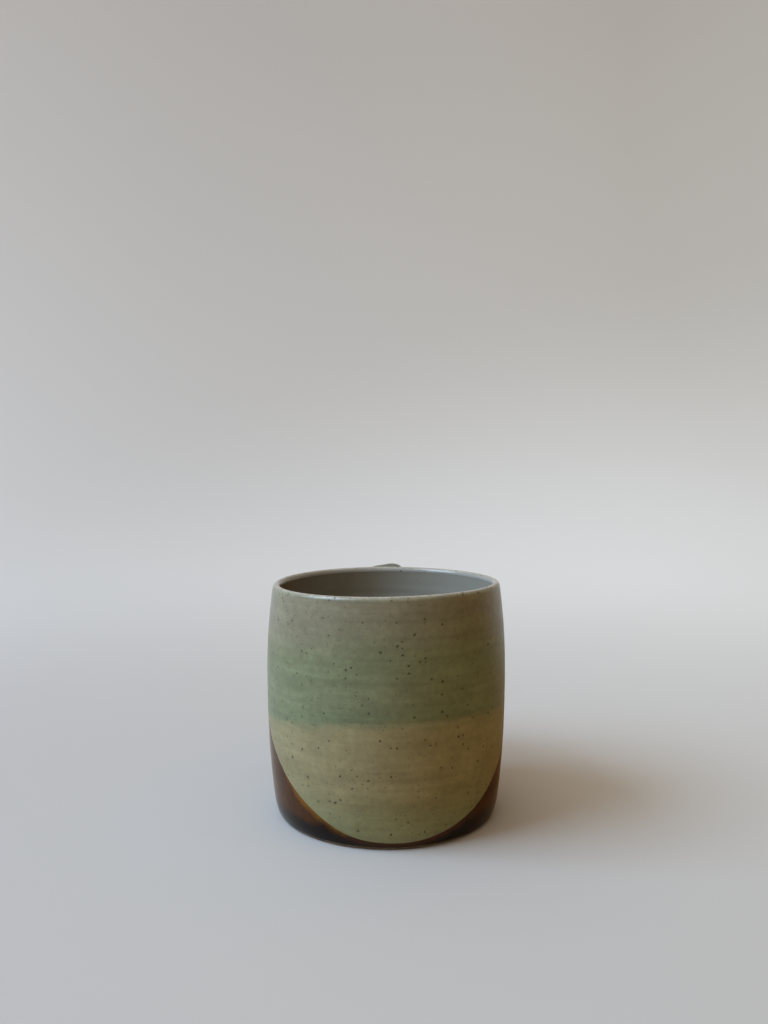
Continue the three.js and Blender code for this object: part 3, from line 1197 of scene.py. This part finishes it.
@dataclass
class PulledHandle:
    """The strap handle: pulled clay bent to a loop, flared over its slip joints, under two glaze coats."""

    cup: ThrownCup
    upper_joint_drop: float = 12.0
    upper_joint_slope: float = 0.85
    crest_drop: float = 4.2
    crest_reach: float = 13.5
    outer_drop: float = 27.0
    outer_reach: float = 28.5
    lower_joint_height: float = 19.0
    lower_joint_slope: float = 0.5
    embed: float = 8.0
    width: StrapSize = StrapSize(17.0, 12.5, 15.0)
    thickness: StrapSize = StrapSize(8.0, 6.4, 6.2)
    twist: float = math.radians(13)
    squareness: float = 2.5
    slip_gap: float = 0.6
    fillet_flare: float = 4.6
    fillet_sunk: float = 1.5
    fillet_reach: float = 6.0
    fillet_hollow: float = 2.8
    seam_sunk: float = 0.25
    groove_depth: float = 0.3
    groove_width: float = 0.28
    groove_start: tuple[float, float] = (0.1, 0.3)
    groove_end: tuple[float, float] = (0.95, 0.75)
    edge_start: float = 0.8
    edge_thin: float = 0.4
    edge_clear: tuple[float, float] = (2.0, 9.0)
    line_search: float = 0.4
    bend_steps: int = 401
    path_steps: int = 2001
    around_steps: int = 96
    along_steps: int = 180
    under_steps: int = 24
    search_steps: int = 700

    def __post_init__(self) -> None:
        """Works out the centre line and even angles round the section."""
        self.path = self.centre_line()
        self.around = np.linspace(0, 2 * math.pi, self.around_steps, endpoint=False)

    def centre_line(self) -> Array:
        """Joins two straight ends and three parabolas, whose corners lie where their end tangents meet.

        Returns:
            Reach and height of points that are evenly spaced along the line.
        """
        shape = self.cup.shape
        upper_z = shape.clay_height - self.upper_joint_drop
        crest_z = shape.clay_height - self.crest_drop
        outer_y = shape.belly_radius + self.outer_reach
        upper = np.array([float(shape.wall_radius(np.array(upper_z))), upper_z])
        crest = np.array([shape.belly_radius + self.crest_reach, crest_z])
        outer = np.array([outer_y, shape.clay_height - self.outer_drop])
        lower_y = float(shape.wall_radius(np.array(self.lower_joint_height)))
        lower = np.array([lower_y, self.lower_joint_height])
        corners = [
            np.array([upper[0] + (crest_z - upper_z) / self.upper_joint_slope, crest_z]),
            np.array([outer_y, crest_z]),
            np.array([outer_y, self.lower_joint_height + self.lower_joint_slope * (outer_y - lower_y)]),
        ]
        slopes = self.upper_joint_slope, self.lower_joint_slope
        start, end = [joint - self.embed * (np.array([1, slope]) / math.hypot(1, slope))
                      for joint, slope in zip((upper, lower), slopes)]
        t = np.linspace(0, 1, self.bend_steps)[1:, None]
        bends = [(1 - t) ** 2 * a + 2 * t * (1 - t) * corner + t ** 2 * b
                 for a, corner, b in zip((upper, crest, outer), corners, (crest, outer, lower))]
        ends = start + (upper - start) * t, lower + (end - lower) * t
        line = np.concatenate([start[None], ends[0], *bends, ends[1]])
        length = run_along(*line.T)
        even = np.linspace(0, length[-1], self.path_steps)
        return np.stack([np.interp(even, length, line[:, i]) for i in (0, 1)], axis=-1)

    def surface(self, along: Array, around: Array, growth: Array) -> Array:
        """Points of the strap: a squarish ellipse carried along the centre line and leaned by the twist.

        The outer face has a shallow groove down its middle, as a thumb leaves it in pulled clay.

        Args:
            along: Share of the centre line's length.
            around: Angle round the section, from the strap's +X edge to its outer face.
            growth: How much the section is grown.

        Returns:
            The points, in the shape of the arguments with three coordinates.
        """
        share = np.linspace(0, 1, len(self.path))
        heading = np.gradient(self.path, axis=0)
        heading /= np.linalg.norm(heading, axis=1, keepdims=True)
        lines = (*self.path.T, *heading.T)
        centre_y, centre_z, run_y, run_z = [np.interp(along, share, line) for line in lines]
        power = 2 / self.squareness
        across = np.sign(np.cos(around)) * np.abs(np.cos(around)) ** power
        rise = np.sign(np.sin(around)) * np.abs(np.sin(around)) ** power
        groove = self.groove_depth * np.exp(-(across / self.groove_width) ** 2) * (rise > 0)
        fade = eased(*self.groove_start, along) * eased(*self.groove_end, along)
        x = across * (self.width.at(along) / 2 + growth)
        y = rise * (self.thickness.at(along) / 2 + growth) - groove * fade
        lean = self.twist * np.sin(math.pi * along)
        out = x * np.sin(lean) + y * np.cos(lean)
        side = x * np.cos(lean) - y * np.sin(lean)
        return np.stack([side, centre_y - run_z * out, centre_z + run_y * out], axis=-1)

    def bare(self, along: Array, around: Array) -> Array:
        """Points of the strap in bare clay."""
        return self.surface(along, around, 0 * along)

    def from_wall(self, points: Array) -> Array:
        """Distance of points from the clay wall, measured level."""
        x, y, z = np.moveaxis(points, -1, 0)
        return np.hypot(x, y) - self.cup.shape.wall_radius(z)

    def coated(self, along: Array, around: Array, lift: Array) -> Array:
        """Points lifted off the strap and its fillets, which swell by a power of the nearness to the wall.

        Args:
            along: Share of the centre line's length.
            around: Angle round the section.
            lift: Distance off the clay.

        Returns:
            The points.
        """
        near = self.fillet_reach - self.from_wall(self.bare(along, around))
        share = np.clip(near / (self.fillet_reach + self.fillet_sunk), 0, 1)
        return self.surface(along, around, lift + self.fillet_flare * share ** self.fillet_hollow)

    def coat_face(self, along: Array, around: Array) -> Array:
        """Points of the glaze's face at its plain thickness."""
        return self.coated(along, around, np.full(along.shape, self.cup.coat.face))

    def search(self, along: Array, gap: Callable[[Array, Array], Array]) -> Array:
        """Finds where a measure first rises through zero along the strap, for each angle round it.

        Args:
            along: Shares of the centre line, in the order to look at them.
            gap: Gives the measure from shares along and angles around.

        Returns:
            One share for each angle.
        """
        grid = np.broadcast_to(along, (self.around_steps, len(along)))
        around = np.broadcast_to(self.around[:, None], grid.shape)
        return first_crossing(along, gap(grid, around))

    def ends_at_wall(self, points_at: Callable[[Array, Array], Array],
                     clearance: float) -> tuple[Array, Array]:
        """Finds where the strap leaves the wall and comes back to it, for each angle round the section.

        Args:
            points_at: Gives the surface from shares along and angles around.
            clearance: Distance from the clay wall at which the surface starts.

        Returns:
            The shares along the centre line of the start and of the end.
        """
        def clear(along: Array, around: Array) -> Array:
            """Distance past the clearance."""
            return self.from_wall(points_at(along, around)) - clearance

        upper = np.linspace(0, STRAP_MIDDLE, self.search_steps)
        lower = np.linspace(1, STRAP_MIDDLE, self.search_steps)
        return self.search(upper, clear), self.search(lower, clear)

    def line_on_strap(self, over: float) -> Array:
        """Share along the centre line where the strap's coat is at a height over the rim dip's line."""
        along = np.linspace(self.line_search, 1, self.search_steps)
        return self.search(along, lambda *place: over - RIM_DIP.over(self.coat_face(*place)))

    def marks(self, points: Array) -> dict[Mark, Array]:
        """Measures for the glazes: heights over both lines, and thinness on the strap's edges.

        Args:
            points: Points of a coat, one column for each angle round the section.

        Returns:
            Each measure on the points.
        """
        edge = np.abs(np.cos(self.around)) ** (2 / self.squareness)
        thin = np.broadcast_to(self.edge_thin * eased(self.edge_start, 1, edge), points.shape[:2])
        thin = thin * eased(*self.edge_clear, self.from_wall(points))
        return dip_marks(points) | {Mark.THIN: thin, Mark.INSIDE: np.zeros_like(thin)}

    def shell(self, name: str, start: Array, end: Array,
              face: Callable[[Array], Array]) -> bpy.types.Object:
        """Makes a coat of the strap as a closed shell: along its face from start to end, back under it.

        Args:
            name: Name of the piece.
            start: Share along the centre line where the coat starts, for each angle.
            end: Share where it ends.
            face: Gives the face's height over the clay from the height over the rim dip's line.

        Returns:
            The coat.
        """
        steps = (1 - np.cos(np.linspace(0, math.pi, self.along_steps))) / 2
        share = np.concatenate([steps, np.linspace(1, 0, self.under_steps)])[:, None]
        along = start + (end - start) * share
        around = np.broadcast_to(self.around, along.shape)
        lift = face(RIM_DIP.over(self.coat_face(along, around)))
        lift[self.along_steps:] = self.cup.coat.gap
        points = self.coated(along, around, lift)
        return grid_piece(name, points, Wrap.BOTH, self.marks(points))

    def strap(self) -> bpy.types.Object:
        """Makes the bare strap, from one slip joint to the other, closed at both ends.

        Returns:
            The strap.
        """
        start, end = self.ends_at_wall(self.bare, self.slip_gap)
        share = np.linspace(0, 1, self.along_steps)[:, None]
        along = start + (end - start) * share
        points = self.bare(along, np.broadcast_to(self.around, along.shape))
        first, last = [np.broadcast_to(points[i].mean(axis=0), points[:1].shape) for i in (0, -1)]
        return grid_piece("pulled_strap", np.concatenate([first, points, last]), Wrap.COLUMNS, {})

    def build(self, finishes: Finishes) -> None:
        """Makes and dresses the strap and its two coats.

        Args:
            finishes: The mug's materials.
        """
        coat = self.cup.coat
        start, end = self.ends_at_wall(self.coat_face, coat.face - self.seam_sunk)
        line_low, line_high = self.line_on_strap(-coat.lap), self.line_on_strap(coat.lap)
        celadon = self.shell("celadon_handle_coat", start, line_low, coat.over_neighbour)
        brown = self.shell("brown_handle_coat", line_high, end, coat.under_neighbour)
        settle(self.strap(), finishes.clay, "stoneware_clay", "handle_strap")
        settle(celadon, finishes.celadon, "celadon_glaze", "handle_celadon_glaze")
        settle(brown, finishes.brown, "brown_glaze", "handle_brown_glaze")


@dataclass(frozen=True)
class SlipJoints:
    """The slip between wall and strap, which keeps its CAD shape, as the glaze hides it."""

    nodes: tuple[str, ...] = ("upper_slip_joint", "lower_slip_joint")

    def build(self, frame: dict[str, Any], finishes: Finishes) -> None:
        """Dresses the joints.

        Args:
            finishes: The mug's materials.
        """
        for name in self.nodes:
            joint = frame["nodes"][name]
            joint.data.materials.clear()
            joint.data.materials.append(finishes.slip)
            log.info("%s keeps its CAD shape", name)


# Studio


@dataclass(frozen=True)
class MattPaper:
    """Matt paper of the sweep: pale where it is seen, dim and warm in the light that it sends back.

    The camera sees it pale, and so do reflections of the backdrop and of the floor near the mug. Other
    reflections see a dim room. The backdrop also shines a little, for those same rays alone.
    """

    flat: float
    bend: float
    left: str = "#b3b3b2"
    right: str = "#c6c8c8"
    bounce_left: str = "#9a7a54"
    bounce_right: str = "#7c6440"
    bounce_foot: str = "#b8b4ac"
    foot_light: float = 60.0
    glow_colour: str = "#e6f4ff"
    glow_left: float = 0.45
    glow_right: float = 0.06
    glow_centre: Xyz = (-40.0, -60.0, 0.0)
    glow_start: float = 120.0
    glow_full: float = 700.0
    patch_glow: float = 0.2
    patch_centre: Xyz = (300.0, 560.0, 60.0)
    patch_reach: float = 760.0
    room_depth: float = 500.0
    mirror_left: float = 0.7
    mirror_right: float = 0.12
    mirror_turn: float = 40.0
    grain: Xyz = (2.0, 2.0, 2.0)
    grain_depth: float = 0.01
    roughness: float = 1.0
    gloss: float = 0.0
    ior: float = 1.5

    def seen(self, sheet: FinishSheet, reach: Socket, axes: Socket) -> Socket:
        """Tells which rays see the paper pale. Reflections see the near floor dimmer away from the window.

        Args:
            sheet: The finish that is being made.
            reach: Level distance from the mug.
            axes: An output of the node that splits the place into x, y and z.

        Returns:
            1 where the paper is seen pale, 0 where it is dim.
        """
        near = sheet.add(Kind.RANGE, {0: reach, 1: self.room_depth, 2: self.room_depth / 2})
        lit = sheet.add(Kind.RANGE, {
            0: axes.node.outputs["X"], 1: -self.mirror_turn, 2: self.mirror_turn,
            3: self.mirror_left, 4: self.mirror_right})
        near = sheet.add(Kind.MATH, {0: near, 1: lit}, operation="MULTIPLY")
        behind = sheet.add(Kind.RANGE, {0: axes.node.outputs["Y"], 1: 0.0, 2: self.room_depth})
        mirrored = sheet.add(Kind.MATH, {0: near, 1: behind}, operation="MAXIMUM")
        rays = sheet.add(Kind.LIGHT_PATH).node.outputs
        glossy = sheet.add(Kind.MATH, {0: rays["Is Glossy Ray"], 1: mirrored}, operation="MULTIPLY")
        direct = sheet.add(Kind.MATH, {0: rays["Is Camera Ray"], 1: rays["Is Transmission Ray"]},
                           operation="MAXIMUM")
        return sheet.add(Kind.MATH, {0: direct, 1: glossy}, operation="MAXIMUM")

    def glow(self, sheet: FinishSheet, level: Socket, side: Socket) -> Socket:
        """Light of the backdrop's own: none by the mug, an even share far off and a soft patch at the back.

        Args:
            sheet: The finish that is being made.
            level: Place on the ground plan.
            side: Place along x.

        Returns:
            The strength of the light.
        """
        pairs = (level, self.glow_centre), (sheet.place, self.patch_centre)
        off, off_patch = [sheet.add(Kind.VECTOR, {0: place, 1: centre}, out="Value", operation="DISTANCE")
                          for place, centre in pairs]
        far = sheet.add(Kind.RANGE, {0: off, 1: self.glow_start, 2: self.glow_full},
                        interpolation_type="SMOOTHSTEP")
        even = sheet.add(Kind.RANGE, {
            0: side, 1: -self.flat - self.bend, 2: self.flat, 3: self.glow_left, 4: self.glow_right})
        patch = sheet.add(Kind.RANGE, interpolation_type="SMOOTHSTEP", inputs={
            0: off_patch, 1: 0.0, 2: self.patch_reach, 3: self.patch_glow, 4: 0.0})
        return sheet.add(Kind.MATH, {0: even, 1: far, 2: patch}, operation="MULTIPLY_ADD")

    def build(self) -> bpy.types.Material:
        """Mixes what is seen with what is sent back, and adds the backdrop's light and a fine grain.

        Returns:
            The material.
        """
        sheet = FinishSheet("matt_pale_paper")
        level = sheet.add(Kind.VECTOR, {0: sheet.place, 1: GROUND_PLAN}, operation="MULTIPLY")
        reach = sheet.add(Kind.VECTOR, {0: level}, out="Value", operation="LENGTH")
        side = sheet.add(Kind.SPLIT, {0: sheet.place}, out="X")
        seen = self.seen(sheet, reach, side)
        pale = sheet.fade(self.left, self.right, side, Span(-self.flat, self.flat))
        warm = sheet.fade(self.bounce_left, self.bounce_right, side, Span(-self.flat / 2, self.flat))
        by_foot = Span(self.foot_light, self.foot_light / 2)
        warm = sheet.fade(warm, self.bounce_foot, reach, by_foot)
        colour = sheet.fade(warm, pale, seen, WHOLE)
        glow = sheet.add(Kind.MATH, {0: self.glow(sheet, level, side), 1: seen}, operation="MULTIPLY")
        sheet.feed(sheet.shader, {
            "Emission Strength": glow, "Emission Color": linear(self.glow_colour),
            "Specular IOR Level": self.gloss})
        return sheet.finish(colour, self.roughness, self.ior, sheet.cloud(self.grain), self.grain_depth)


@dataclass(frozen=True)
class Lamp:
    """A soft rectangular lamp that looks at the mug, placed by its turn from the front to the left.

    Turn and lift are in degrees, distance, width and height in metres, and the power is in watts.
    """

    name: str
    turn: float
    lift: float
    distance: float
    width: float
    height: float
    power: float
    colour: str

    def build(self, target: Vector) -> None:
        """Makes the lamp, unseen by the camera.

        Args:
            target: The place that it looks at, in metres.
        """
        light = bpy.data.lights.new(self.name, "AREA")
        light.shape = "RECTANGLE"
        light.size, light.size_y = self.width, self.height
        light.energy = self.power
        light.color = linear(self.colour)[:3]
        lamp = bpy.data.objects.new(self.name, light)
        turn, lift = math.radians(self.turn), math.radians(self.lift)
        level = math.cos(lift)
        towards = Vector((-math.sin(turn) * level, -math.cos(turn) * level, math.sin(lift)))
        lamp.location = target + self.distance * towards
        lamp.rotation_euler = towards.to_track_quat("Z", "Y").to_euler()
        lamp.visible_camera = False
        bpy.context.scene.collection.objects.link(lamp)


@dataclass(frozen=True)
class RoomAir:
    """The room that shines in over the sweep from above, dimmer and warmer away from the window."""

    left: str = "#f8f0e0"
    right: str = "#ae8452"
    turn: Span = Span(-0.3, 0.5)
    strength: float = 1.34

    def build(self) -> None:
        """Makes the world whose light comes in."""
        world = bpy.data.worlds.new("studio_air")
        world.use_nodes = True
        sheet = NodeSheet(world.node_tree)
        side = sheet.add(Kind.SPLIT, {0: sheet.add(Kind.COORDINATES, out="Generated")}, out="X")
        colour = sheet.fade(self.left, self.right, side, self.turn)
        sheet.feed(sheet.tree.nodes["Background"], {"Color": colour, "Strength": self.strength})
        bpy.context.scene.world = world


@dataclass(frozen=True)
class PhotoCamera:
    """The camera, placed as the outlines of rim and foot in the photograph give it.

    Lengths are in millimetres and angles in degrees.
    """

    lens: float = 31.64
    sensor: float = 36.0
    place: Xyz = (-4.22, -321.4, 124.59)
    pitch: float = 3.151
    turn: float = 0.614
    clip_start: float = 10.0

    def build(self) -> None:
        """Makes the camera, which looks level along +Y before it is pitched down and turned right."""
        data = bpy.data.cameras.new("photo_camera")
        data.lens = self.lens
        data.sensor_width = self.sensor
        data.clip_start = self.clip_start * MM
        camera = bpy.data.objects.new("photo_camera", data)
        camera.location = Vector(self.place) * MM
        camera.rotation_euler = (math.radians(90 - self.pitch), 0, -math.radians(self.turn))
        bpy.context.scene.collection.objects.link(camera)
        bpy.context.scene.camera = camera


@dataclass(frozen=True)
class Studio:
    """A pale round sweep in a dim warm room, a window to the left, and the camera of the photograph."""

    sweep_flat: float = 450.0
    sweep_bend: float = 950.0
    sweep_wall: float = 350.0
    flat_steps: int = 12
    bend_steps: int = 33
    round_steps: int = 96
    window: Lamp = Lamp("window", turn=76.0, lift=45.0, distance=1.15, width=0.75, height=0.65, power=13.3,
                        colour="#c9e3ff")
    aim: Xyz = (0.0, 0.0, 40.0)

    def sweep(self) -> bpy.types.Object:
        """Makes the floor: a disc that bends up along a quarter circle into a round wall.

        Returns:
            The sweep.
        """
        angle = np.linspace(0, math.pi / 2, self.bend_steps)[1:]
        disc = np.linspace(0, self.sweep_flat, self.flat_steps)
        radius = np.concatenate([disc, self.sweep_flat + self.sweep_bend * np.sin(angle)])
        height = np.concatenate([0 * disc, self.sweep_bend * (1 - np.cos(angle))])
        radius = np.append(radius, radius[-1])
        height = np.append(height, height[-1] + self.sweep_wall)
        turn = np.linspace(-math.pi, math.pi, self.round_steps, endpoint=False)[:, None]
        points = turned(radius, height, turn)
        return grid_piece("studio_sweep", points[:, ::-1], Wrap.ROWS, {})

    def build(self) -> None:
        """Sets up sweep, air, camera and window."""
        bpy.context.scene.view_settings.view_transform = "Standard"
        floor = self.sweep()
        floor.data.materials.append(MattPaper(self.sweep_flat, self.sweep_bend).build())
        RoomAir().build()
        PhotoCamera().build()
        self.window.build(Vector(self.aim) * MM)


def main() -> None:
    """Loads the frame and builds mug and studio."""
    logging.basicConfig(level=logging.INFO, format="%(name)s: %(message)s")
    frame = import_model()
    finishes = Finishes()
    cup = ThrownCup()
    cup.build(finishes)
    PulledHandle(cup).build(finishes)
    SlipJoints().build(frame, finishes)
    Studio().build()


if __name__ == "__main__":
    main()
